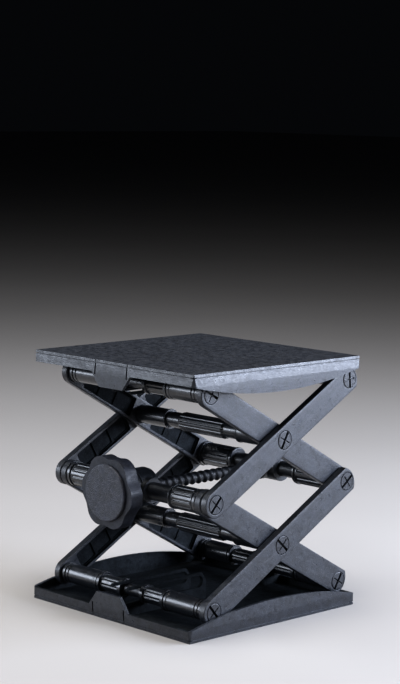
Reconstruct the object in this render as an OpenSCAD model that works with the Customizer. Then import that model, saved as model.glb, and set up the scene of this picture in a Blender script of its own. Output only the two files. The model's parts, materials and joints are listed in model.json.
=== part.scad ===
// Two-stage scissor lab jack, moulded in black glass-filled plastic. Sizes in millimetres.
// X runs left to right, Y front to rear and Z up. The knob faces the front.
// The origin is the centre of the base's underside.
// The rear rods are held in clips. The front rods slide in guides as the jack rises.

/* [Height] */
// Angle of the scissor arms above level
arm_angle = 29.45; // [12:0.05:55]

/* [Trays] */
// Width and depth of both trays
tray_size = 160; // [158:1:170]
// Height of the front and rear walls, plate included
wall_h = 8; // [7:0.1:8.2]
// Height of the side walls at the middle of their arch
arch_h = 17.4; // [12:0.1:18]
// Thickness of the flat plate
plate_t = 3; // [2.5:0.1:3.5]
// Thickness of the upright walls
wall_t = 2.4; // [2:0.1:2.4]
// How far each wall leans in towards the plate
draft = 0.9; // [0:0.1:1.2]
// Radius of the upright corners
corner_r = 3.5; // [1:0.1:4]
// Width of the front tab at its foot
tab_w = 38.6; // [34:0.2:42]
// Height of the tip of the front tab
tab_h = 17.9; // [15:0.1:18.2]

/* [Arms] */
// Distance between the end pins of an arm
arm_len = 146; // [144:0.5:147]
// Width of an arm
arm_w = 18.2; // [17.6:0.1:18.4]
// Thickness of an arm
arm_t = 5.4; // [4.8:0.1:5.4]
// Outer face of the outer arms, from the middle of the jack
outer_x = 76; // [75:0.1:76]

/* [Rods] */
// Height of the end pins from the outer face of a tray
pin_z = 16; // [15.8:0.1:17]
// Place of the rear pins behind the middle of the jack
rear_y = 72.8; // [72:0.1:73]
// Radius of the core axles and of the pin shanks
core_r = 4; // [3.6:0.1:4]
// Radius of a hinge pin where it turns in an arm
journal_r = 6.5; // [6:0.1:6.6]
// Radius of the plain part of the tray spacers
spacer_r = 6.9; // [6.4:0.1:7]

/* [Screw and knob] */
// Crest radius of the screw thread
screw_r = 4.4; // [4.2:0.1:4.6]
// Root radius of the screw thread
root_r = 3.4; // [3:0.1:3.6]
// Pitch of the screw thread
pitch = 6; // [4:0.5:8]
// Radius of the knob over its lobes
lobe_r = 25.2; // [24.4:0.1:25.6]
// Depth of the notch between two lobes
notch_depth = 2.5; // [1:0.1:2.8]
// Number of lobes
lobes = 6; // [4:1:8]

/* [Hidden] */
$fn = 64;

plastic = "#34383d";
dark_plastic = "#24272b";
steel = "#9a9c9e";

// Linkage: rise and run of one arm, and the heights of the six pin rows
rise = arm_len * sin(arm_angle);
run = arm_len * cos(arm_angle);
front_y = rear_y - run;
mid_y = rear_y - run / 2;
jack_h = 2 * (pin_z + rise);
low_z = pin_z;
mid_z = pin_z + rise;
top_z = pin_z + 2 * rise;
// The lowest and the highest setting of the arms, which fix the guides and the screw
low_angle = 10.5;
high_angle = 58;
guide_front_y = rear_y - arm_len * cos(low_angle);
guide_rear_y = rear_y - arm_len * cos(high_angle);

// Clearances: between faces that slide past each other, in a bore that turns, and in a pressed bore
face_gap = 0.3;
run_fit = 0.06;
press_fit = 0.02;
eps = 1;

// Arm planes: where the arm starts on the right-hand side, seen from the middle
outer_arm_x = outer_x - arm_t;
inner_arm_x = outer_arm_x - 2 * face_gap - arm_t;
outer_seat_x = outer_arm_x - face_gap;
inner_seat_x = inner_arm_x - face_gap;
outer_head_x = outer_x + 0.2;
inner_head_x = inner_arm_x + arm_t + 0.2;
shank_len = 12;

// Guides in the trays: two upright webs either side of the middle
web_x = 6.5;
web_t = 2.5;
web_h = 22;
slot_r = core_r + 0.25;
flange_x = web_x + web_t + 0.4;

// A round bar along X, and one along Y
module bar_x(x0, x1, r) {
    translate([x0, 0, 0]) rotate([0, 90, 0]) cylinder(h = x1 - x0, r = r);
}

module bar_y(y0, y1, r) {
    translate([0, y0, 0]) rotate([-90, 0, 0]) cylinder(h = y1 - y0, r = r);
}

// A turned shape along X or Y, from a list of [place, radius]
module turned_z(profile) {
    last = len(profile) - 1;
    rotate_extrude()
        polygon(concat([[0, profile[0][0]]], [for (p = profile) [p[1], p[0]]], [[0, profile[last][0]]]));
}

module turned_x(profile) {
    rotate([0, 90, 0]) turned_z(profile);
}

module turned_y(profile) {
    rotate([-90, 0, 0]) turned_z(profile);
}

// Puts a right-hand piece on one side: side is 1 for right and -1 for left
module on_side(side) {
    mirror([side < 0 ? 1 : 0, 0, 0]) children();
}

module both_sides() {
    on_side(1) children();
    on_side(-1) children();
}

// ---- Trays ----

module rounded_block(size, r, h) {
    side = size - 2 * r;
    translate([-side / 2, -size / 2, 0]) cube([side, size, h]);
    translate([-size / 2, -side / 2, 0]) cube([size, side, h]);
    for (x = [-1, 1], y = [-1, 1])
        translate([x * side / 2, y * side / 2, 0]) cylinder(h = h, r = r);
}

// The leaning outline of the walls, extruded straight through the tray
module leaning_block() {
    half = tray_size / 2;
    slope_h = max(arch_h, tab_h) + 1;
    rotate([90, 0, 0]) translate([0, 0, -half])
        linear_extrude(tray_size)
            polygon([[draft - half, 0], [half - draft, 0], [half, wall_h], [half, slope_h],
                [-half, slope_h], [-half, wall_h]]);
}

module tray_body() {
    half = tray_size / 2;
    bulge = arch_h - wall_h;
    arch_r = (half * half + bulge * bulge) / (2 * bulge);
    difference() {
        intersection() {
            rounded_block(tray_size, corner_r, arch_h + eps);
            leaning_block();
            rotate([0, 0, 90]) leaning_block();
            translate([-tray_size, 0, arch_h - arch_r]) bar_x(0, 2 * tray_size, arch_r, $fn = 360);
        }
        translate([0, 0, plate_t])
            rounded_block(tray_size - 2 * wall_t, corner_r - 1, arch_h + eps);
        // The front and rear walls stay level
        translate([-tray_size / 2 + wall_t, -half - eps, wall_h])
            cube([tray_size - 2 * wall_t, tray_size + 2 * eps, arch_h]);
    }
}

// The tab at the middle of the front wall, in the plane of the wall's outer edge
module front_tab() {
    half = tab_w / 2;
    tip = half - 7.6;
    intersection() {
        rotate([0, 0, 90]) leaning_block();
        translate([0, wall_t - tray_size / 2, 0]) rotate([90, 0, 0])
            linear_extrude(wall_t + eps)
                polygon([[-half, wall_h - 1], [half, wall_h - 1], [half, wall_h], [tip, tab_h],
                    [-tip, tab_h], [-half, wall_h]]);
    }
}

// A shallow line all round the outside of the walls, level with the top of the plate
module edge_line() {
    line_z = 1.7;
    line_h = 0.7;
    depth = 0.5;
    inner = tray_size - 2 * draft * (1 - line_z / wall_h) - 2 * depth;
    difference() {
        translate([-tray_size, -tray_size, line_z]) cube([2 * tray_size, 2 * tray_size, line_h]);
        translate([0, 0, line_z - eps]) rounded_block(inner, corner_r, line_h + 2 * eps);
    }
}

// Two webs with a long slot for the front rod
module front_guide() {
    start_y = wall_t - tray_size / 2;
    end_y = guide_rear_y + 8;
    both_sides()
        difference() {
            translate([web_x, 0, 0]) rotate([90, 0, 90])
                linear_extrude(web_t)
                    polygon([[start_y, plate_t - 1], [end_y, plate_t - 1], [end_y, web_h - 6], [end_y - 4, web_h],
                        [start_y + 9, web_h], [start_y, tab_h - 2]]);
            translate([0, guide_front_y - 0.5, pin_z]) bar_x(0, 20, slot_r);
            translate([0, guide_rear_y + 0.5, pin_z]) bar_x(0, 20, slot_r);
            translate([0, guide_front_y - 0.5, pin_z - slot_r])
                cube([20, guide_rear_y - guide_front_y + 1, 2 * slot_r]);
        }
}

// Two clips that hold the rear rod, open at the top to snap it in
module rear_clip() {
    front = rear_y - 11;
    back = tray_size / 2 - wall_t;
    both_sides()
        difference() {
            translate([web_x, front, plate_t - 1]) cube([web_t, back - front, web_h - plate_t + 1]);
            translate([0, rear_y, pin_z]) bar_x(0, 20, core_r + press_fit);
            translate([0, rear_y - 3, pin_z]) cube([20, 6, 20]);
        }
}

module tray() {
    difference() {
        union() {
            tray_body();
            front_tab();
            front_guide();
            rear_clip();
        }
        edge_line();
        // Upright grooves beside the tab
        for (x = [-15.7, 15.7])
            translate([x - 0.6, -tray_size / 2 - eps, -eps]) cube([1.2, eps + 1.1, wall_h + 2 + eps]);
    }
}

module base_tray() {
    color(plastic) tray();
}

module platform_tray() {
    color(plastic) translate([0, 0, jack_h]) rotate([0, 180, 0]) tray();
}

// ---- Arms ----

// Outline of an arm: round at the front pin, blunter at the rear pin
module arm_outline() {
    blunt_r = 12;
    blunt_back = 4.3;
    circle(r = arm_w / 2);
    intersection() {
        translate([0, -arm_w / 2]) square([arm_len + arm_w, arm_w]);
        union() {
            translate([0, -arm_w / 2]) square([arm_len, arm_w]);
            translate([arm_len - blunt_back, 0]) circle(r = blunt_r);
        }
    }
}

// One half of the cored-out inner face, between two holes: a channel with low ribs across its floor
module arm_pockets(start, length) {
    count = 3;
    rib = 1.8;
    rim = 2.4;
    step = 0.8;
    cell = (length - 2 * step - (count - 1) * rib) / count;
    translate([start, rim - arm_w / 2, -eps]) cube([length, arm_w - 2 * rim, eps + 2]);
    for (i = [0 : count - 1])
        translate([start + step + i * (cell + rib), rim + step - arm_w / 2, -eps])
            cube([cell, arm_w - 2 * rim - 2 * step, eps + 3]);
}

module arm_blank() {
    keep = 11.5;
    difference() {
        linear_extrude(arm_t) arm_outline();
        for (x = [0, arm_len / 2, arm_len])
            translate([x, 0, -eps]) cylinder(h = arm_t + 2 * eps, r = journal_r + run_fit);
        arm_pockets(keep, arm_len / 2 - 2 * keep);
        arm_pockets(arm_len / 2 + keep, arm_len / 2 - 2 * keep);
    }
}

// Places an arm by its front pin. tilt is positive where the arm rises to the rear.
module arm(side, x, z, tilt) {
    color(plastic) on_side(side)
        translate([x, front_y, z]) rotate([90, 0, 90]) rotate([0, 0, tilt]) arm_blank();
}

// ---- Hinge pins, axles and spacers ----

// A pin with a cross-slotted head. It is pressed in a spacer and turns in one or two arms.
module hinge_pin(seat_x, head_x, turn) {
    chamfer = 0.6;
    difference() {
        turned_x([[seat_x - shank_len, core_r - 0.4], [seat_x - shank_len + 0.4, core_r], [seat_x, core_r],
            [seat_x, journal_r], [head_x - chamfer, journal_r], [head_x, journal_r - chamfer]]);
        rotate([turn, 0, 0]) {
            translate([head_x - 2.6, -0.6, -journal_r - eps]) cube([4, 1.2, 2 * journal_r + 2 * eps]);
            translate([head_x - 1, -journal_r * 0.75, -0.4]) cube([2, journal_r * 1.5, 0.8]);
        }
    }
}

module pin_pair(seat_x, head_x, y, z, turn) {
    color(dark_plastic) translate([0, y, z]) {
        on_side(1) hinge_pin(seat_x, head_x, turn);
        on_side(-1) hinge_pin(seat_x, head_x, turn + 65);
    }
}

// A plain axle between the two pins of a tray rod
module axle(seat_x, y, z) {
    reach = seat_x - shank_len - 0.5;
    color(dark_plastic) translate([0, y, z]) bar_x(-reach, reach, core_r);
}

// Flutes cut along a round spacer
module flutes(x0, x1, r, count, groove_r) {
    for (i = [0 : count - 1])
        rotate([i * 360 / count, 0, 0]) translate([0, 0, r + groove_r * 0.55]) bar_x(x0, x1, groove_r, $fn = 24);
}

// A tray spacer: flange by the guide, fluted neck, two collars, plain sleeve and ringed end
module tray_spacer(side, seat_x, y, z) {
    neck_r = spacer_r - 1.2;
    neck_x = flange_x + 3.4;
    collar_x = 31;
    ring_x = seat_x - 7;
    color(plastic) translate([0, y, z]) on_side(side)
        difference() {
            turned_x([[flange_x, spacer_r - 0.6], [flange_x + 0.4, spacer_r - 0.2], [neck_x, spacer_r - 0.2],
                [neck_x, neck_r], [collar_x, neck_r], [collar_x, spacer_r + 0.5],
                [collar_x + 2.4, spacer_r + 0.5], [collar_x + 2.4, spacer_r - 0.5],
                [collar_x + 3.2, spacer_r - 0.5], [collar_x + 3.2, spacer_r + 0.3],
                [collar_x + 5.4, spacer_r + 0.3], [collar_x + 5.8, spacer_r], [ring_x, spacer_r],
                [ring_x, spacer_r - 0.5], [ring_x + 1, spacer_r - 0.5], [ring_x + 1, spacer_r],
                [ring_x + 3, spacer_r], [ring_x + 3, spacer_r - 0.5], [ring_x + 4, spacer_r - 0.5],
                [ring_x + 4, spacer_r + 0.3], [seat_x - 0.4, spacer_r + 0.3], [seat_x, spacer_r - 0.1]]);
            bar_x(flange_x - eps, seat_x + eps, core_r + press_fit);
            flutes(neck_x + 0.6, collar_x - 0.6, neck_r, 8, 1.2);
        }
}

// A tube between the two arms at a crossing, fluted in the middle
module cross_tube(z) {
    tube_r = 6.7;
    flute_x = 21;
    neck_x = 35;
    seat = inner_seat_x;
    color(plastic) translate([0, mid_y, z])
        difference() {
            turned_x([[-seat, tube_r - 0.4], [0.4 - seat, tube_r], [-neck_x - 2, tube_r],
                [-neck_x - 1, tube_r + 0.5], [-neck_x, tube_r + 0.5], [-neck_x, tube_r - 1.1],
                [-flute_x - 1.5, tube_r - 1.1], [-flute_x, tube_r], [flute_x, tube_r],
                [flute_x + 1.5, tube_r - 1.1], [neck_x, tube_r - 1.1], [neck_x, tube_r + 0.5],
                [neck_x + 1, tube_r + 0.5], [neck_x + 2, tube_r], [seat - 0.4, tube_r], [seat, tube_r - 0.4]]);
            bar_x(-seat - eps, seat + eps, core_r + press_fit);
            flutes(-flute_x - 4, flute_x + 4, tube_r, 14, 0.9);
        }
}

// A spacer on the trunnion or the nut block, with flanges at both ends and flutes between
module mid_spacer(side, y, start_x, r, count) {
    seat = inner_seat_x;
    color(plastic) translate([0, y, mid_z]) on_side(side)
        difference() {
            turned_x([[start_x, r - 0.2], [start_x + 0.5, r + 0.4], [start_x + 2, r + 0.4], [start_x + 2, r - 0.5],
                [start_x + 3, r - 0.5], [start_x + 3.6, r], [seat - 4, r], [seat - 4, r - 0.6], [seat - 2.8, r - 0.6],
                [seat - 2.8, r + 0.5], [seat - 0.5, r + 0.5], [seat, r]]);
            bar_x(start_x - eps, seat + eps, core_r + press_fit);
            flutes(start_x + 4.5, seat - 5, r, count, 1.4);
        }
}

// ---- Screw, trunnion, nut and knob ----

// Places along the screw, from the front pin row
cap_face_y = -30;
cap_back_y = -27.9;
body_back_y = -17.9;
hub_back_y = -9.8;
hub_r = 12;
screw_nose_y = -24.4;
cross_pin_y = -13.8;
boss_half = 8.8;
boss_r = 12.6;
nut_half = 11;
nut_r = 9.3;
stop_y = arm_len * cos(low_angle) + nut_half + 1;
stop_len = 5;
smooth_r = 4;
trunnion_neck_x = 37.5;
nut_neck_x = 30.5;

module front_trunnion() {
    collar_x = 15.5;
    color(plastic) translate([0, front_y, mid_z])
        difference() {
            union() {
                bar_y(-boss_half, boss_half, boss_r);
                bar_y(-boss_half + 2.4, boss_half - 2.4, boss_r + 0.8);
                bar_x(-collar_x, collar_x, 8.6);
                bar_x(-trunnion_neck_x, trunnion_neck_x, 6.1);
                bar_x(shank_len + 0.5 - inner_seat_x, inner_seat_x - shank_len - 0.5, core_r);
            }
            bar_y(-boss_half - 2, boss_half + 2, smooth_r + run_fit);
        }
}

module rear_nut_block() {
    color(plastic) translate([0, rear_y, mid_z])
        difference() {
            union() {
                bar_x(-14, 14, nut_r);
                bar_y(-nut_half, nut_half, nut_r - 0.8);
                bar_x(-nut_neck_x, nut_neck_x, 5.6);
                bar_x(shank_len + 0.5 - inner_seat_x, inner_seat_x - shank_len - 0.5, core_r);
            }
            bar_y(-nut_half - 2, nut_half + 2, screw_r + run_fit);
        }
}

// Smooth in the trunnion, with a collar behind it, then a coarse round thread
module screw_spindle() {
    thread_y = boss_half + 5;
    steps = 8;
    turns = floor((stop_y - thread_y) / pitch);
    mean_r = (screw_r + root_r) / 2;
    swing = (screw_r - root_r) / 2;
    ridges = [for (i = [0 : turns * steps]) [thread_y + i * pitch / steps, mean_r - swing * cos(i * 360 / steps)]];
    color(dark_plastic) translate([0, front_y, mid_z])
        difference() {
            turned_y(concat(
                [[screw_nose_y, smooth_r - 0.6], [screw_nose_y + 0.6, smooth_r], [boss_half + face_gap, smooth_r],
                    [boss_half + face_gap, smooth_r + 2], [boss_half + 2.5, smooth_r + 2],
                    [boss_half + 2.5, smooth_r], [boss_half + 4, smooth_r], [thread_y - 0.4, root_r]],
                ridges,
                [[stop_y, root_r], [stop_y + stop_len + 0.6, root_r], [stop_y + stop_len + 1, root_r - 0.4]]));
            translate([0, cross_pin_y, -hub_r]) cylinder(h = 2 * hub_r, r = 1.27);
        }
}

// Outline of the knob: broad lobes with a rounded notch between each two
module lobe_outline() {
    first_notch = 26;
    count = 168;
    function notch(a) = notch_depth * pow((1 + cos(lobes * (a - first_notch))) / 2, 1.5);
    polygon([for (i = [0 : count - 1])
        let (a = i * 360 / count, r = lobe_r - notch(a))
        [r * cos(a), r * sin(a)]]);
}

module knob() {
    pocket_r = 10;
    pocket_y = -24.6;
    core_out = lobe_r - notch_depth - 2.6;
    core_in = hub_r + 0.4;
    core_y = body_back_y - 5.5;
    color(plastic) translate([0, front_y, mid_z])
        difference() {
            union() {
                translate([0, body_back_y, 0]) rotate([90, 0, 0])
                    linear_extrude(body_back_y - cap_back_y) lobe_outline();
                bar_y(body_back_y - 6, hub_back_y, hub_r);
            }
            bar_y(cap_back_y - eps, pocket_y, pocket_r + press_fit);
            bar_y(pocket_y - eps, hub_back_y + eps, smooth_r + press_fit);
            translate([0, cross_pin_y, -2 * hub_r]) cylinder(h = 4 * hub_r, r = 1.27);
            // The back is cored out between ribs
            difference() {
                bar_y(core_y, body_back_y + eps, core_out);
                bar_y(core_y - eps, body_back_y + 2 * eps, core_in);
                for (i = [0 : lobes - 1])
                    rotate([0, 34 + i * 360 / lobes, 0]) translate([0, core_y - eps, -0.9])
                        cube([core_out + eps, 10, 1.8]);
            }
        }
}

// Closes the knob's face, with a spigot in the knob's pocket
module knob_cap() {
    cap_r = 19.3;
    color(plastic) translate([0, front_y, mid_z])
        turned_y([[cap_face_y, cap_r - 0.8], [cap_face_y + 0.3, cap_r - 0.2], [cap_face_y + 0.8, cap_r],
            [cap_back_y, cap_r], [cap_back_y, 10], [cap_back_y + 2.6, 10]]);
}

module knob_cross_pin() {
    color(steel) translate([0, front_y + cross_pin_y, mid_z - hub_r + 0.7]) cylinder(h = 2 * hub_r - 1.4, r = 1.25);
}

module thrust_washer() {
    washer_y = hub_back_y + 0.05;
    color(steel) translate([0, front_y, mid_z])
        difference() {
            bar_y(washer_y, washer_y + 0.75, 10);
            bar_y(washer_y - eps, washer_y + 2, smooth_r + 0.1);
        }
}

module screw_end_stop() {
    color(dark_plastic) translate([0, front_y, mid_z])
        difference() {
            turned_y([[stop_y, 6.8], [stop_y + 0.6, 7.4], [stop_y + stop_len - 0.8, 7.4], [stop_y + stop_len, 6.6]]);
            bar_y(stop_y - eps, stop_y + stop_len + eps, root_r + press_fit);
        }
}

base_tray();
platform_tray();

arm(-1, outer_arm_x, low_z, arm_angle);  // lower_outer_arm_left
arm(1, outer_arm_x, low_z, arm_angle);  // lower_outer_arm_right
arm(-1, inner_arm_x, mid_z, -arm_angle);  // lower_inner_arm_left
arm(1, inner_arm_x, mid_z, -arm_angle);  // lower_inner_arm_right
arm(-1, outer_arm_x, mid_z, arm_angle);  // upper_outer_arm_left
arm(1, outer_arm_x, mid_z, arm_angle);  // upper_outer_arm_right
arm(-1, inner_arm_x, top_z, -arm_angle);  // upper_inner_arm_left
arm(1, inner_arm_x, top_z, -arm_angle);  // upper_inner_arm_right

axle(outer_seat_x, front_y, low_z);  // base_front_axle
tray_spacer(-1, outer_seat_x, front_y, low_z);  // base_front_spacer_left
tray_spacer(1, outer_seat_x, front_y, low_z);  // base_front_spacer_right
pin_pair(outer_seat_x, outer_head_x, front_y, low_z, 40);  // base_front_pins
axle(inner_seat_x, rear_y, low_z);  // base_rear_axle
tray_spacer(-1, inner_seat_x, rear_y, low_z);  // base_rear_spacer_left
tray_spacer(1, inner_seat_x, rear_y, low_z);  // base_rear_spacer_right
pin_pair(inner_seat_x, inner_head_x, rear_y, low_z, -32);  // base_rear_pins
axle(inner_seat_x, front_y, top_z);  // top_front_axle
tray_spacer(-1, inner_seat_x, front_y, top_z);  // top_front_spacer_left
tray_spacer(1, inner_seat_x, front_y, top_z);  // top_front_spacer_right
pin_pair(inner_seat_x, inner_head_x, front_y, top_z, 62);  // top_front_pins
axle(outer_seat_x, rear_y, top_z);  // top_rear_axle
tray_spacer(-1, outer_seat_x, rear_y, top_z);  // top_rear_spacer_left
tray_spacer(1, outer_seat_x, rear_y, top_z);  // top_rear_spacer_right
pin_pair(outer_seat_x, outer_head_x, rear_y, top_z, 5);  // top_rear_pins
cross_tube(low_z + rise / 2);  // lower_cross_tube
pin_pair(inner_seat_x, outer_head_x, mid_y, low_z + rise / 2, 48);  // lower_cross_pins
cross_tube(mid_z + rise / 2);  // upper_cross_tube
pin_pair(inner_seat_x, outer_head_x, mid_y, mid_z + rise / 2, -28);  // upper_cross_pins

front_trunnion();
mid_spacer(-1, front_y, trunnion_neck_x, 8.1, 12);  // mid_front_spacer_left
mid_spacer(1, front_y, trunnion_neck_x, 8.1, 12);  // mid_front_spacer_right
pin_pair(inner_seat_x, outer_head_x, front_y, mid_z, -42);  // mid_front_pins
rear_nut_block();
mid_spacer(-1, rear_y, nut_neck_x, 8.4, 10);  // mid_rear_spacer_left
mid_spacer(1, rear_y, nut_neck_x, 8.4, 10);  // mid_rear_spacer_right
pin_pair(inner_seat_x, outer_head_x, rear_y, mid_z, -52);  // mid_rear_pins
screw_spindle();
knob();
knob_cap();
knob_cross_pin();
thrust_washer();
screw_end_stop();
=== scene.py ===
import json
import math

import bmesh
import bpy
from mathutils import Matrix, Vector


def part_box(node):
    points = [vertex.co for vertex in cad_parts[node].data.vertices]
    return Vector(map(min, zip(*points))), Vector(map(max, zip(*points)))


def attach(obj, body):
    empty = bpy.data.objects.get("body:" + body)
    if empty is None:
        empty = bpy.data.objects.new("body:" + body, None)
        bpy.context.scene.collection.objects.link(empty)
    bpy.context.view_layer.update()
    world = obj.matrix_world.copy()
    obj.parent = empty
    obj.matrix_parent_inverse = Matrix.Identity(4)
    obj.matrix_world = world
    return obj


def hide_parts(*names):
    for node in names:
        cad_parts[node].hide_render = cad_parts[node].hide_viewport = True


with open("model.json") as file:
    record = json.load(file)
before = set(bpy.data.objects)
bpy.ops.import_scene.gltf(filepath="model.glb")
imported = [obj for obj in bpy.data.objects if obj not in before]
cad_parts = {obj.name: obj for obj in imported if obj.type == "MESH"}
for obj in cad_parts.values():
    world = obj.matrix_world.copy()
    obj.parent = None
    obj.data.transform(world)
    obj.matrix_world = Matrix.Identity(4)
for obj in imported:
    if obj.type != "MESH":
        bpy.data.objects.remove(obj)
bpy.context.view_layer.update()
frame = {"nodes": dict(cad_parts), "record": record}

MM = 0.001

# ---- Camera ----

CAMERA_PLACE = Vector((0.98356, -0.95039, 0.35443))
# Angles in radians: to the right of the front, downwards, and about the line of sight
CAMERA_TURN = 0.801379
CAMERA_DIP = 0.124746
CAMERA_ROLL = 0.0169973
# Focal length and sensor width in millimetres
CAMERA_LENS = 105.19
CAMERA_SENSOR = 36


def make_camera():
    """A camera at the front right, looking a little down on the jack."""
    back = Vector((math.sin(CAMERA_TURN) * math.cos(CAMERA_DIP),
                   -math.cos(CAMERA_TURN) * math.cos(CAMERA_DIP),
                   math.sin(CAMERA_DIP)))
    level = Vector((math.cos(CAMERA_TURN), math.sin(CAMERA_TURN), 0))
    upright = back.cross(level)
    right = math.cos(CAMERA_ROLL) * level + math.sin(CAMERA_ROLL) * upright
    up = math.cos(CAMERA_ROLL) * upright - math.sin(CAMERA_ROLL) * level
    data = bpy.data.cameras.new("camera")
    data.lens = CAMERA_LENS
    data.sensor_width = CAMERA_SENSOR
    data.clip_start, data.clip_end = 0.05, 50
    cam = bpy.data.objects.new("camera", data)
    bpy.context.scene.collection.objects.link(cam)
    cam.matrix_world = Matrix.Translation(CAMERA_PLACE) @ Matrix((right, up, back)).transposed().to_4x4()
    bpy.context.scene.camera = cam


# ---- Materials ----

class Nodes:
    """Short calls for adding and joining shader nodes."""

    def __init__(self, name):
        self.mat = bpy.data.materials.new(name)
        self.mat.use_nodes = True
        self.tree = self.mat.node_tree
        self.tree.nodes.clear()
        self.out = self.add("ShaderNodeOutputMaterial")
        self.shader = self.add("ShaderNodeBsdfPrincipled")
        self.join(self.shader, "BSDF", self.out, "Surface")
        self.coords = self.add("ShaderNodeTexCoord")

    def add(self, kind, **values):
        node = self.tree.nodes.new(kind)
        for key, value in values.items():
            setattr(node, key, value)
        return node

    def join(self, a, a_socket, b, b_socket):
        self.tree.links.new(a.outputs[a_socket], b.inputs[b_socket])

    def noise(self, size_mm, detail=3.0, rough=0.55, stretch=None, turn=0.0):
        """Noise in object space, turned about X and then stretched. size_mm is the size of one feature."""
        node = self.add("ShaderNodeTexNoise")
        node.inputs["Scale"].default_value = 1000 / size_mm
        node.inputs["Detail"].default_value = detail
        node.inputs["Roughness"].default_value = rough
        if stretch:
            mapping = self.add("ShaderNodeMapping")
            mapping.inputs["Scale"].default_value = stretch
            turned = self.add("ShaderNodeMapping")
            turned.inputs["Rotation"].default_value = (turn, 0, 0)
            self.join(self.coords, "Object", turned, "Vector")
            self.join(turned, "Vector", mapping, "Vector")
            self.join(mapping, "Vector", node, "Vector")
        else:
            self.join(self.coords, "Object", node, "Vector")
        return node

    def ramp(self, source, socket, stops):
        """stops are (place, grey or colour)."""
        node = self.add("ShaderNodeValToRGB")
        elements = node.color_ramp.elements
        while len(elements) < len(stops):
            elements.new(0.5)
        for element, (place, value) in zip(elements, stops):
            element.position = place
            colour = value if hasattr(value, "__len__") else (value, value, value)
            element.color = (*colour, 1)
        self.join(source, socket, node, "Fac")
        return node

    def mix(self, kind, factor, a, b):
        """Mixes two colours. Each of factor, a and b is a value or a (node, socket) pair."""
        node = self.add("ShaderNodeMix", data_type="RGBA", blend_type=kind)
        for value, socket in ((factor, 0), (a, 6), (b, 7)):
            if isinstance(value, tuple) and isinstance(value[0], bpy.types.Node):
                self.tree.links.new(value[0].outputs[value[1]], node.inputs[socket])
            else:
                node.inputs[socket].default_value = value
        return node


# Depth of the fine and the slow bumps in the plastic, in metres, and the roughness of its polished skin
GRAIN_DEPTH = 0.0004
WAVE_DEPTH = 0.0006
COAT_ROUGH = 0.12


def plastic(name, colour, rough=0.40, spread=0.17, mottle=0.5, grain_mm=0.7, grain=0.3, waves=0.12,
            specular=0.6, fleck=0.04, coat=0.0, streaks=None):
    """Filled black plastic: mottled colour, pale flecks of filler, rubbed edges, uneven gloss, moulded grain.
    rough varies by spread either way, and colour by the share mottle. grain and waves are the strengths of
    the fine and the slow bumps. fleck is how much paler the filler is. streaks is the slope, in radians, of
    the flow marks along an arm."""
    n = Nodes(name)
    dark = tuple(c * (1 - mottle) for c in colour)
    light = tuple(c * (1 + mottle) for c in colour)
    clouds = n.noise(6, 5, 0.65)
    tone = n.ramp(clouds, "Fac", [(0.34, dark), (0.66, light)])
    flecks = n.noise(0.6, 2, 0.5)
    fleck_mask = n.ramp(flecks, "Fac", [(0.55, 0.0), (0.70, 0.7)])
    pale = tuple(min(1, c * 3 + fleck) for c in colour)
    flecked = n.mix("MIX", (fleck_mask, "Color"), (tone, "Color"), (*pale, 1))
    geometry = n.add("ShaderNodeNewGeometry")
    edges = n.ramp(geometry, "Pointiness", [(0.52, 0.0), (0.62, 0.5)])
    patches = n.ramp(n.noise(4, 3, 0.6), "Fac", [(0.40, 0.0), (0.60, 1.0)])
    rubbed = n.mix("MULTIPLY", 1.0, (edges, "Color"), (patches, "Color"))
    bare = tuple(min(1, c * 2.2 + fleck / 2) for c in colour)
    finish = n.mix("MIX", (rubbed, 2), (flecked, 2), (*bare, 1))
    if streaks is not None:
        flow = n.noise(3.5, 4, 0.7, stretch=(1, 0.22, 1), turn=-streaks)
        marks = n.ramp(flow, "Fac", [(0.50, 0.0), (0.72, 0.75)])
        marked = tuple(min(1, c * 1.5 + 0.035) for c in colour)
        finish = n.mix("MIX", (marks, "Color"), (finish, 2), (*marked, 1))
    n.tree.links.new(finish.outputs[2], n.shader.inputs["Base Color"])
    gloss = n.noise(3.4, 6, 0.75)
    rough_map = n.ramp(gloss, "Fac", [(0.32, rough - spread), (0.68, rough + spread)])
    n.join(rough_map, "Color", n.shader, "Roughness")
    fine = n.add("ShaderNodeBump")
    fine.inputs["Strength"].default_value = grain
    fine.inputs["Distance"].default_value = GRAIN_DEPTH
    slow = n.add("ShaderNodeBump")
    slow.inputs["Strength"].default_value = waves
    slow.inputs["Distance"].default_value = WAVE_DEPTH
    n.join(n.noise(grain_mm, 2, 0.5), "Fac", fine, "Height")
    n.join(n.noise(8, 3, 0.5), "Fac", slow, "Height")
    n.join(slow, "Normal", fine, "Normal")
    n.join(fine, "Normal", n.shader, "Normal")
    n.shader.inputs["Specular IOR Level"].default_value = specular
    if coat:
        n.shader.inputs["Coat Weight"].default_value = coat
        n.shader.inputs["Coat Roughness"].default_value = COAT_ROUGH
    return n.mat


def steel(name):
    """Turned steel with fine rings of brushing and a few dull spots."""
    n = Nodes(name)
    streaks = n.noise(1.2, 4, 0.6, stretch=(0.3, 6, 0.3))
    tone = n.ramp(streaks, "Fac", [(0.3, (0.42, 0.42, 0.43)), (0.7, (0.66, 0.66, 0.67))])
    n.join(tone, "Color", n.shader, "Base Color")
    n.shader.inputs["Metallic"].default_value = 1.0
    rough_map = n.ramp(streaks, "Fac", [(0.3, 0.42), (0.7, 0.26)])
    n.join(rough_map, "Color", n.shader, "Roughness")
    bump = n.add("ShaderNodeBump")
    bump.inputs["Strength"].default_value = 0.2
    bump.inputs["Distance"].default_value = 0.0002
    n.join(streaks, "Fac", bump, "Height")
    n.join(bump, "Normal", n.shader, "Normal")
    return n.mat


BLACK = (0.013, 0.0155, 0.021)
# Slope of the arms in radians, for the flow marks along them
ARM_SLOPE = 0.514

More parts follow.
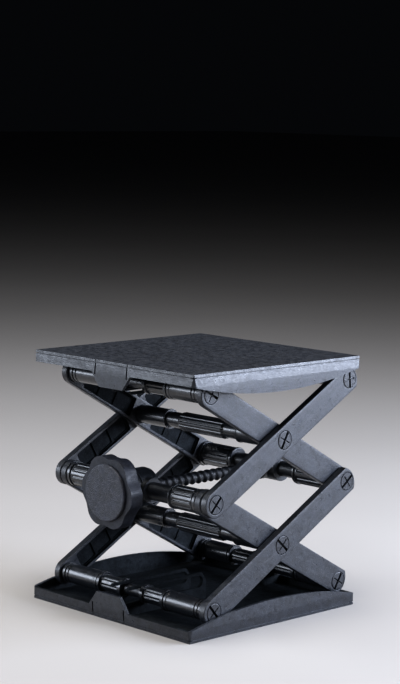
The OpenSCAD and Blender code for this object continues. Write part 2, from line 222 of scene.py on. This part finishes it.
MATERIALS = {
    "tray_plastic": plastic("tray_plastic", BLACK, waves=0.06, fleck=0.03),
    "arm_plastic": plastic("arm_plastic", BLACK, streaks=ARM_SLOPE),
    "arm_falling": plastic("arm_falling", BLACK, streaks=-ARM_SLOPE),
    # For the inside of the trays and the arms' channels and cells: darker colour and a dull sheen, painted
    # shade in the recesses
    "recess_painted_shade": plastic("recess_painted_shade", (0.010, 0.012, 0.014), rough=0.66, spread=0.08, specular=0.06, fleck=0.010),
    "spacer_plastic": plastic("spacer_plastic", (0.010, 0.012, 0.016), rough=0.36, spread=0.13, grain=0.2,
                              fleck=0.035, coat=0.5),
    "rod_plastic": plastic("rod_plastic", (0.010, 0.012, 0.016), rough=0.36),
    "pin_plastic": plastic("pin_plastic", (0.012, 0.014, 0.019), rough=0.36),
    "block_plastic": plastic("block_plastic", (0.009, 0.011, 0.015), rough=0.42, fleck=0.015),
    "screw_plastic": plastic("screw_plastic", (0.006, 0.007, 0.009), rough=0.50, specular=0.4, fleck=0.01),
    "knob_plastic": plastic("knob_plastic", (0.011, 0.013, 0.020), rough=0.52, specular=0.45, fleck=0.02),
    "knob_face": plastic("knob_face", (0.015, 0.018, 0.029), rough=0.44, mottle=0.6, grain_mm=0.6, grain=0.9),
    "steel": steel("steel"),
}

# ---- Pieces ----

SLOT_OF = {s["node"]: s["material_slot"] for s in frame["record"]["subparts"]}
BODY_OF = {n: b for b, ns in frame["record"]["behaviour"]["bodies"].items() for n in ns}
# An edge sharper than this is rounded
SHARP = math.radians(28)


def corners(node):
    """A node's lowest and highest corners in millimetres."""
    low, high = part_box(node)
    return Vector(low) / MM, Vector(high) / MM


def middle(node):
    low, high = corners(node)
    return (low + high) / 2


def ends(node):
    """How far a left or right node's inner and outer ends are from the middle of the jack."""
    low, high = corners(node)
    return min(abs(low.x), abs(high.x)), max(abs(low.x), abs(high.x))


# Heights and depths of the pin rows, and the rest position of the arms, in millimetres and radians
LOW_Z = middle("base_front_axle").z
MID_Z = middle("front_trunnion").z
TOP_Z = middle("top_front_axle").z
FRONT_Y = middle("base_front_axle").y
REAR_Y = middle("base_rear_axle").y
ARM_TILT = math.atan2(MID_Z - LOW_Z, REAR_Y - FRONT_Y)
ARM_LEN = math.hypot(MID_Z - LOW_Z, REAR_Y - FRONT_Y)


def finished_mesh(obj):
    """Replaces the object's mesh by what its modifiers make of it."""
    depsgraph = bpy.context.evaluated_depsgraph_get()
    mesh = bpy.data.meshes.new_from_object(obj.evaluated_get(depsgraph))
    obj.modifiers.clear()
    obj.data = mesh


def add_piece(node, bm, widest=0.35, segments=2, width_at=None, finish=None):
    """Makes the piece that stands for a CAD node. bm is in metres, and its sharp edges are rounded.
    width_at(edge) gives one edge's width in millimetres, up to widest. Faces with material 1 are recesses,
    and they get a darker, duller material that is painted shade."""
    weights = bm.edges.layers.float.new("bevel_weight_edge")
    for edge in bm.edges:
        if len(edge.link_faces) == 2 and edge.calc_face_angle(0) > SHARP:
            edge[weights] = (width_at(edge) if width_at else widest) / widest
    name = node + "_finished"
    mesh = bpy.data.meshes.new(name)
    bm.to_mesh(mesh)
    bm.free()
    for polygon in mesh.polygons:
        polygon.use_smooth = True
    obj = bpy.data.objects.new(name, mesh)
    bpy.context.scene.collection.objects.link(obj)
    mesh.materials.append(MATERIALS[finish or SLOT_OF[node]])
    # Recess faces get a second material, darker and duller: painted shade
    if any(polygon.material_index for polygon in mesh.polygons):
        mesh.materials.append(MATERIALS["recess_painted_shade"])
    rounding = obj.modifiers.new("rounding", "BEVEL")
    rounding.width = widest * MM
    rounding.segments = segments
    rounding.limit_method = "WEIGHT"
    rounding.harden_normals = True
    rounding.miter_outer = "MITER_ARC"
    normals = obj.modifiers.new("normals", "WEIGHTED_NORMAL")
    normals.keep_sharp = True
    finished_mesh(obj)
    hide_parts(node)
    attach(obj, BODY_OF[node])
    return obj


# Points closer than this are one, and faces flatter to each other than this are one
SAME_PLACE = 0.002 * MM
SAME_PLANE = math.radians(0.8)


def cad_shape(node):
    """A CAD node's surface with its triangles joined into clean faces."""
    bm = bmesh.new()
    bm.from_mesh(frame["nodes"][node].data)
    bmesh.ops.remove_doubles(bm, verts=bm.verts, dist=SAME_PLACE)
    bmesh.ops.dissolve_degenerate(bm, edges=bm.edges, dist=SAME_PLACE)
    bmesh.ops.dissolve_limit(bm, angle_limit=SAME_PLANE, verts=bm.verts, edges=bm.edges)
    return bm


def closed_rings(rings, loop=True):
    """A surface through rings of points in millimetres, all with the same count.
    loop joins the last ring to the first."""
    bm = bmesh.new()
    rows = [[bm.verts.new(Vector(p) * MM) for p in ring] for ring in rings]
    count = len(rows[0])
    pairs = list(zip(rows, rows[1:] + rows[:1])) if loop else list(zip(rows, rows[1:]))
    for a, b in pairs:
        for i in range(count):
            j = (i + 1) % count
            bm.faces.new((a[i], a[j], b[j], b[i]))
    if not loop:
        bm.faces.new(rows[0])
        bm.faces.new(rows[-1])
    bmesh.ops.recalc_face_normals(bm, faces=bm.faces)
    return bm


class Flutes:
    """Round grooves along a bar of radius r: count of them, cut_r in radius, between x0 and x1."""

    SINK = 0.55                         # how far the groove's centre is outside the bar, in groove radii
    RUNOUT = 1.1                        # length over which a groove fades out, in millimetres
    RUNOUT_STEPS = (0, 0.12, 0.35, 1)   # rings along the runout

    def __init__(self, x0, x1, r, count, cut_r):
        self.x0, self.x1, self.r, self.count, self.cut_r = x0, x1, r, count, cut_r
        self.centre_r = r + cut_r * self.SINK
        self.half = math.acos((self.centre_r ** 2 + r ** 2 - cut_r ** 2) / (2 * self.centre_r * r))

    def angles(self):
        """Places round the bar: seven across each groove, and three on the land between two."""
        step = 2 * math.pi / self.count
        across = [self.half * k / 3 for k in range(-3, 4)]
        land = [self.half + (step - 2 * self.half) * k / 4 for k in range(1, 4)]
        return [i * step + a for i in range(self.count) for a in across + land]

    def stations(self):
        first = [self.x0 + self.RUNOUT * k for k in self.RUNOUT_STEPS]
        last = [self.x1 - self.RUNOUT * k for k in reversed(self.RUNOUT_STEPS)]
        return first + last

    def radius(self, x, angle, r):
        """The bar's radius where it would be r without the groove."""
        if not self.x0 < x < self.x1:
            return r
        step = 2 * math.pi / self.count
        off = (angle + step / 2) % step - step / 2
        if abs(off) >= self.half * 0.9999:
            return r
        reach = math.sqrt(self.cut_r ** 2 - (self.centre_r * math.sin(off)) ** 2)
        floor = self.centre_r * math.cos(off) - reach
        near = min(x - self.x0, self.x1 - x) / self.RUNOUT
        depth = math.sin(math.pi / 2 * min(1, near)) if near < 1 else 1
        return min(r, r - depth * (r - floor)) if floor < r else r


def radius_on(profile, x):
    for (x0, r0), (x1, r1) in zip(profile, profile[1:]):
        if x0 <= x <= x1 and x1 > x0:
            return r0 + (r1 - r0) * (x - x0) / (x1 - x0)
    raise ValueError(f"{x} is off the profile")


def sleeve(node, profile, bore_r, flutes, widest=0.22):
    """A turned sleeve along X with a bore. profile is (x, r) from the middle outwards, on the right."""
    side = -1 if node.endswith("_left") else 1
    place = middle(node)
    points = list(profile)
    for x in flutes.stations():
        if all(abs(x - p[0]) > 1e-6 for p in points):
            at = next(i for i, p in enumerate(points) if p[0] > x)
            points.insert(at, (x, radius_on(profile, x)))
    angles = flutes.angles()

    def ring(x, radius_at):
        return [(side * x, place.y + radius_at(a) * math.sin(a), place.z + radius_at(a) * math.cos(a))
                for a in angles]

    rings = [ring(x, lambda a, x=x, r=r: flutes.radius(x, a, r)) for x, r in points]
    rings += [ring(x, lambda a: bore_r) for x in (points[-1][0], points[0][0])]
    add_piece(node, closed_rings(rings), widest)


CORE_R = 4.02
SPACER_R = 6.9


def tray_spacer(node):
    """On a tray's rod: a flange, a fluted neck, a collar, a plain barrel and two grooves beside the arm."""
    start, seat = ends(node)
    r = SPACER_R
    neck_r, neck_x, collar_x, ring_x = r - 1.2, start + 3.4, 31, seat - 7
    flange_r, collar_r, groove_r, band_r = r - 0.2, r + 0.5, r - 0.5, r + 0.3
    profile = [(start, r - 0.6), (start + 0.4, flange_r), (neck_x, flange_r), (neck_x, neck_r),
               (collar_x, neck_r), (collar_x, collar_r), (collar_x + 2.4, collar_r),
               (collar_x + 2.4, groove_r), (collar_x + 3.2, groove_r), (collar_x + 3.2, band_r),
               (collar_x + 5.4, band_r), (collar_x + 5.8, r),
               (ring_x, r), (ring_x, groove_r), (ring_x + 1, groove_r), (ring_x + 1, r),
               (ring_x + 3, r), (ring_x + 3, groove_r), (ring_x + 4, groove_r), (ring_x + 4, band_r),
               (seat - 0.4, band_r), (seat, r - 0.1)]
    sleeve(node, profile, CORE_R, Flutes(neck_x + 0.6, collar_x - 0.6, neck_r, 8, 1.2))


def mid_spacer(node, r, count):
    """At mid height: a flange, a groove, a fluted barrel of radius r, a groove and a band beside the arm."""
    start, seat = ends(node)
    flange_r, band_r, inner_groove_r, outer_groove_r = r + 0.4, r + 0.5, r - 0.5, r - 0.6
    profile = [(start, r - 0.2), (start + 0.5, flange_r), (start + 2, flange_r), (start + 2, inner_groove_r),
               (start + 3, inner_groove_r), (start + 3.6, r), (seat - 4, r), (seat - 4, outer_groove_r),
               (seat - 2.8, outer_groove_r), (seat - 2.8, band_r), (seat - 0.5, band_r), (seat, r)]
    sleeve(node, profile, CORE_R, Flutes(start + 4.5, seat - 5, r, count, 1.4))


def cross_tube(node):
    """The tube where the arms cross: fluted in the middle, with a neck and a collar each side."""
    seat = corners(node)[1].x
    r, flute_x, neck_x = 6.7, 21, 35
    neck_r, collar_r = r - 1.1, r + 0.5
    half = [(0, r), (flute_x, r), (flute_x + 1.5, neck_r), (neck_x, neck_r), (neck_x, collar_r),
            (neck_x + 1, collar_r), (neck_x + 2, r), (seat - 0.4, r), (seat, r - 0.4)]
    profile = [(-x, p) for x, p in reversed(half[1:])] + half[1:]
    sleeve(node, profile, CORE_R, Flutes(-flute_x - 4, flute_x + 4, r, 14, 0.9), 0.18)


# ---- Arms ----

ARM_T = 5.4
ARM_W = 18.2
ARM_EDGE = 0.8
HOLE_R = 6.56
HOLE_EDGE = 0.25
# The rear end is part of a larger circle, whose centre is this far in front of the rear pin
BLUNT_R = 12
BLUNT_BACK = 4.3
# The channel in each half of the inner face, and the row of deeper cells in its floor
CHANNEL_KEEP = 11.5
CHANNEL_RIM = 2.4
CHANNEL_DEPTH = 2
CELLS = 3
CELL_STEP = 0.8
CELL_RIB = 1.8
CELL_DEPTH = 3
POCKET_FOOT = 0.4


def arm_outline(inset):
    """Round at the front pin and blunter at the rear, in the arm's own plane, inset by some millimetres."""
    half = ARM_W / 2 - inset
    blunt_r = BLUNT_R - inset
    swing = math.asin(half / blunt_r)
    front = [(half * math.cos(a), half * math.sin(a))
             for a in (math.pi / 2 + math.pi * k / 24 for k in range(25))]
    back = [(ARM_LEN - BLUNT_BACK + blunt_r * math.cos(a), blunt_r * math.sin(a))
            for a in (-swing + 2 * swing * k / 16 for k in range(17))]
    return front + back


def hole_outline(x, r):
    return [(x + r * math.cos(a), r * math.sin(a)) for a in (2 * math.pi * k / 48 for k in range(48))]


def pocket_outline(x0, x1, half, inset, corner):
    """A rectangle with rounded corners, grown outwards where inset is negative."""
    points = []
    radius = max(0.05, corner - inset)
    for cx, cy, start in ((x1, half, 0), (x0, half, 90), (x0, -half, 180), (x1, -half, 270)):
        sx, sy = (1 if cx == x1 else -1), (1 if cy > 0 else -1)
        mid = (cx - sx * (inset + radius), cy - sy * (inset + radius))
        points += [(mid[0] + radius * math.cos(a), mid[1] + radius * math.sin(a))
                   for a in (math.radians(start + turn) for turn in (0, 30, 60, 90))]
    return points


def quarter(width, count=3):
    """Steps round a quarter of a circle: (inset, depth) from the flat face to the side."""
    return [(width * (1 - math.sin(a)), width * (1 - math.cos(a)))
            for a in (math.pi / 2 * k / count for k in range(count + 1))]


def pocket_side(top, bottom, lip, foot):
    """The side of a pocket as (inset, depth), with a rounded lip and a rounded foot."""
    side = [(-inset, top + depth) for inset, depth in quarter(lip, 2)]
    for k in range(4):
        a = math.pi / 2 * k / 3
        side.append((0.06 + foot * (1 - math.cos(a)), bottom - foot * (1 - math.sin(a))))
    return side


def fill(bm, loops):
    """A flat face inside the first loop, with the other loops as holes."""
    edges = [bm.edges.get((loop[i], loop[(i + 1) % len(loop)])) for loop in loops for i in range(len(loop))]
    bmesh.ops.triangle_fill(bm, use_beauty=True, edges=edges)


def ring(bm, points, z):
    return [bm.verts.new((x, y, z)) for x, y in points]


def skin(bm, rows):
    """Faces between each row of vertices and the next. Returns the rows."""
    for a, b in zip(rows, rows[1:]):
        for i in range(len(a)):
            j = (i + 1) % len(a)
            bm.faces.new((a[i], a[j], b[j], b[i]))
    return rows


def through(bm, outline, steps):
    """A wall through the arm's thickness. outline(inset) gives its points, and steps rounds both edges."""
    return skin(bm, [ring(bm, outline(inset), depth) for inset, depth in steps]
                + [ring(bm, outline(inset), ARM_T - depth) for inset, depth in reversed(steps)])


def channel(bm, start):
    """A shallow channel with a row of deeper cells in its floor. Returns the loop round its mouth."""
    length = ARM_LEN / 2 - 2 * CHANNEL_KEEP
    half = ARM_W / 2 - CHANNEL_RIM
    cell = (length - 2 * CELL_STEP - (CELLS - 1) * CELL_RIB) / CELLS
    rows = skin(bm, [ring(bm, pocket_outline(start, start + length, half, inset, 1.0), depth)
                     for inset, depth in pocket_side(0, CHANNEL_DEPTH, 0.3, POCKET_FOOT)])
    mouth, floor = rows[0], [rows[-1]]
    for i in range(CELLS):
        x0 = start + CELL_STEP + i * (cell + CELL_RIB)
        rows = skin(bm, [ring(bm, pocket_outline(x0, x0 + cell, half - CELL_STEP, inset, 0.8), depth)
                         for inset, depth in pocket_side(CHANNEL_DEPTH, CELL_DEPTH, 0.15, POCKET_FOOT)])
        floor.append(rows[0])
        bm.faces.new(rows[-1])
    fill(bm, floor)
    return mouth


def arm_shape():
    """An arm in its own plane: rounded edges, three bores, and two channels with cells in its inner face."""
    bm = bmesh.new()
    wall = through(bm, arm_outline, quarter(ARM_EDGE))
    inner, outer = [wall[0]], [wall[-1]]
    for x in (0, ARM_LEN / 2, ARM_LEN):
        bore = through(bm, lambda inset, x=x: hole_outline(x, HOLE_R + inset), quarter(HOLE_EDGE, 2))
        inner.append(bore[0])
        outer.append(bore[-1])
    plain_faces = set(bm.faces)
    for start in (CHANNEL_KEEP, ARM_LEN / 2 + CHANNEL_KEEP):
        inner.append(channel(bm, start))
    # The channels and their cells get material 1, the darker plastic that is painted shade
    for face in bm.faces:
        face.material_index = 0 if face in plain_faces else 1
    fill(bm, inner)
    fill(bm, outer)
    bmesh.ops.recalc_face_normals(bm, faces=bm.faces)
    return bm


def arm(node):
    """Puts an arm on its front pin, rising or falling to the rear, with its channels towards the middle."""
    bm = arm_shape()
    side = -1 if node.endswith("_left") else 1
    x = ends(node)[0]
    lower, rises = node.startswith("lower"), "outer" in node
    z = (LOW_Z if lower else MID_Z) if rises else (MID_Z if lower else TOP_Z)
    tilt = ARM_TILT if rises else -ARM_TILT
    along = Vector((0, math.cos(tilt), math.sin(tilt)))
    across = Vector((0, -math.sin(tilt), math.cos(tilt)))
    for vert in bm.verts:
        p = Vector((side * (x + vert.co.z), FRONT_Y, z)) + along * vert.co.x + across * vert.co.y
        vert.co = p * MM
    bmesh.ops.recalc_face_normals(bm, faces=bm.faces)
    add_piece(node, bm, 0.01, finish="arm_plastic" if rises else "arm_falling")


# ---- Screw and knob ----

PITCH = 6
SMOOTH_R = 4
ROOT_R = 3.4
CREST_R = 4.4
# The trunnion's boss reaches this far behind its axis, and the collar sits just behind it
BOSS = 8.8
COLLAR_R = SMOOTH_R + 2
STOP_Y = corners("screw_end_stop")[0].y - FRONT_Y
RINGS_PER_TURN = 14
RUN_IN = 3


def screw_spindle(node):
    """Smooth through the trunnion, with a collar behind it, then a coarse right-hand thread."""
    place = middle(node)
    low, high = corners(node)
    front, back = low.y - FRONT_Y, high.y - FRONT_Y
    mean_r, swing = (ROOT_R + CREST_R) / 2, (CREST_R - ROOT_R) / 2
    start = BOSS + 5
    plain = [(front, SMOOTH_R - 0.6), (front + 0.6, SMOOTH_R), (BOSS + 0.3, SMOOTH_R), (BOSS + 0.3, COLLAR_R),
             (BOSS + 2.5, COLLAR_R), (BOSS + 2.5, SMOOTH_R), (BOSS + 4, SMOOTH_R), (start - 0.4, ROOT_R)]
    end = [(STOP_Y - 0.2, ROOT_R), (back - 0.4, ROOT_R), (back, ROOT_R - 0.4)]
    around = [2 * math.pi * k / 40 for k in range(40)]
    step = PITCH / RINGS_PER_TURN
    count = int((STOP_Y - 0.6 - start) / step)

    def turned(y, radius_at):
        return [(radius_at(a) * math.sin(a), FRONT_Y + y, place.z + radius_at(a) * math.cos(a))
                for a in around]

    def threaded(y):
        fade = max(0, min(1, (y - start) / RUN_IN, (start + count * step - y) / RUN_IN))

        def radius_at(a):
            wave = math.cos(2 * math.pi * y / PITCH - a)
            return ROOT_R + fade * (mean_r - ROOT_R + swing * wave)
        return turned(y, radius_at)

    rings = [turned(y, lambda a, r=r: r) for y, r in plain]
    rings += [threaded(start + i * step) for i in range(count + 1)]
    rings += [turned(y, lambda a, r=r: r) for y, r in end]
    add_piece(node, closed_rings(rings, loop=False), 0.25)


# Where the faces of the knob's lobed rim are, in front of the trunnion's axis, and the least radius on them
RIM_FRONT = 27.9
RIM_BACK = 17.9
RIM_R = 21
RIM_ROUNDING = 1.4


def knob(node):
    """The CAD knob, with its outer edges well rounded and the rest only broken."""
    def on_rim(vert):
        p = vert.co / MM
        on_plane = min(abs(p.y - (FRONT_Y - RIM_FRONT)), abs(p.y - (FRONT_Y - RIM_BACK))) < 0.05
        return on_plane and math.hypot(p.x, p.z - MID_Z) >= RIM_R

    def width_at(edge):
        return RIM_ROUNDING if all(on_rim(vert) for vert in edge.verts) else 0.25
    add_piece(node, cad_shape(node), RIM_ROUNDING, 4, width_at)


# ---- Trays and pins ----

# What is further from the middle than WALL_X is on the outer face of a wall.
# What is nearer than INSIDE_X and higher than FLOOR_Z is inside the tray.
WALL_X = 77.5
INSIDE_X = 77.7
FLOOR_Z = 2.5
# The height of the fine line along the outer edge, and the tab's side lines
LINE_LOW, LINE_HIGH = 1.5, 2.6
TAB_X = 15.7
RIM_WIDTH = 0.7


def tray(node):
    """The CAD tray. Its rims are rounded, and the fine lines are only broken."""
    top = corners(node)[1].z

    def height(point):
        return top - point.z if node == "platform_tray" else point.z

    def width_at(edge):
        mid = (edge.verts[0].co + edge.verts[1].co) / 2 / MM
        if max(abs(mid.x), abs(mid.y)) <= WALL_X:
            return 0.4
        if LINE_LOW < height(mid) < LINE_HIGH:
            return 0.1
        return 0.2 if abs(abs(mid.x) - TAB_X) < 0.8 else RIM_WIDTH
    bm = cad_shape(node)
    # The inside of the tray gets material 1, the darker plastic that is painted shade
    for face in bm.faces:
        mid = face.calc_center_median() / MM
        inside = max(abs(mid.x), abs(mid.y)) < INSIDE_X and height(mid) > FLOOR_Z
        face.material_index = 1 if inside else 0
    add_piece(node, bm, RIM_WIDTH, 3, width_at)


# How far the slots of each pair of pins are turned, in degrees. The left pin is turned by PIN_OFFSET more.
PIN_TURN = {"base_front_pins": 40, "base_rear_pins": -32, "top_front_pins": 62, "top_rear_pins": 5,
            "lower_cross_pins": 48, "upper_cross_pins": -28, "mid_front_pins": -42, "mid_rear_pins": -52}
PIN_OFFSET = 65
PIN_HEAD = 3
SLOT_HALF = 0.6
SLOT_OPENING = 0.25


def pins(node):
    """The CAD pins, with the main slot of each head opened a little wider."""
    bm = cad_shape(node)
    place = middle(node)
    head = corners(node)[1].x - PIN_HEAD
    for vert in bm.verts:
        p = vert.co / MM
        if abs(p.x) < head:
            continue
        turn = math.radians(PIN_TURN[node] + (PIN_OFFSET if p.x < 0 else 0))
        across = Vector((0, math.cos(turn), math.sin(turn)))
        off = (p - place).dot(across)
        if abs(abs(off) - SLOT_HALF) < 0.02:
            vert.co += across * (math.copysign(SLOT_OPENING, off) * MM)
    add_piece(node, bm, 0.22)


for node in sorted(frame["nodes"]):
    if "_arm_" in node:
        arm(node)
    elif "mid_front_spacer" in node:
        mid_spacer(node, 8.1, 12)
    elif "mid_rear_spacer" in node:
        mid_spacer(node, 8.4, 10)
    elif "_spacer_" in node:
        tray_spacer(node)
    elif "cross_tube" in node:
        cross_tube(node)
    elif node == "screw_spindle":
        screw_spindle(node)
    elif node == "knob":
        knob(node)
    elif node.endswith("_tray"):
        tray(node)
    elif node.endswith("_pins"):
        pins(node)
    else:
        add_piece(node, cad_shape(node), 0.3)

# ---- Floor and light ----

FLOOR_HALF = 12
# Faint, so that the background past the floor stays dark
WORLD_COLOUR = (0.70, 0.80, 1.0, 1)
WORLD_STRENGTH = 0.004
LIGHT_TARGET = Vector((0, 0, 0.10))


def make_floor():
    bm = bmesh.new()
    bmesh.ops.create_grid(bm, x_segments=2, y_segments=2, size=FLOOR_HALF)
    mesh = bpy.data.meshes.new("floor")
    bm.to_mesh(mesh)
    bm.free()
    floor = bpy.data.objects.new("floor", mesh)
    bpy.context.scene.collection.objects.link(floor)
    n = Nodes("floor")
    tone = n.ramp(n.noise(400, 2, 0.5), "Fac", [(0.2, (0.375, 0.365, 0.357)), (0.8, (0.405, 0.395, 0.387))])
    n.join(tone, "Color", n.shader, "Base Color")
    n.shader.inputs["Roughness"].default_value = 0.9
    mesh.materials.append(n.mat)


def area_light(name, place, size, watts, colour):
    data = bpy.data.lights.new(name, "AREA")
    data.shape = "RECTANGLE"
    data.size, data.size_y = size
    data.energy = watts
    data.color = colour
    light = bpy.data.objects.new(name, data)
    bpy.context.scene.collection.objects.link(light)
    light.location = place
    light.rotation_mode = "QUATERNION"
    light.rotation_quaternion = (LIGHT_TARGET - Vector(place)).to_track_quat("-Z", "Y")


def make_light():
    world = bpy.data.worlds.new("studio")
    world.use_nodes = True
    background = world.node_tree.nodes["Background"]
    background.inputs["Color"].default_value = WORLD_COLOUR
    background.inputs["Strength"].default_value = WORLD_STRENGTH
    bpy.context.scene.world = world
    area_light("rear_right", (0.72, 0.68, 0.38), (0.9, 0.5), 24, (0.74, 0.82, 1.0))
    area_light("front_left", (-1.05, -1.0, 0.42), (1.0, 0.5), 12, (0.80, 0.87, 1.0))
    area_light("strip", (-0.35, -0.55, 1.1), (1.1, 0.10), 5, (0.92, 0.95, 1.0))
    area_light("top", (0.1, -0.1, 1.5), (0.45, 0.9), 19, (1.0, 0.94, 0.88))


make_camera()
make_floor()
make_light()
bpy.context.scene.view_settings.view_transform = "Standard"
bpy.context.scene.view_settings.look = "Medium High Contrast"
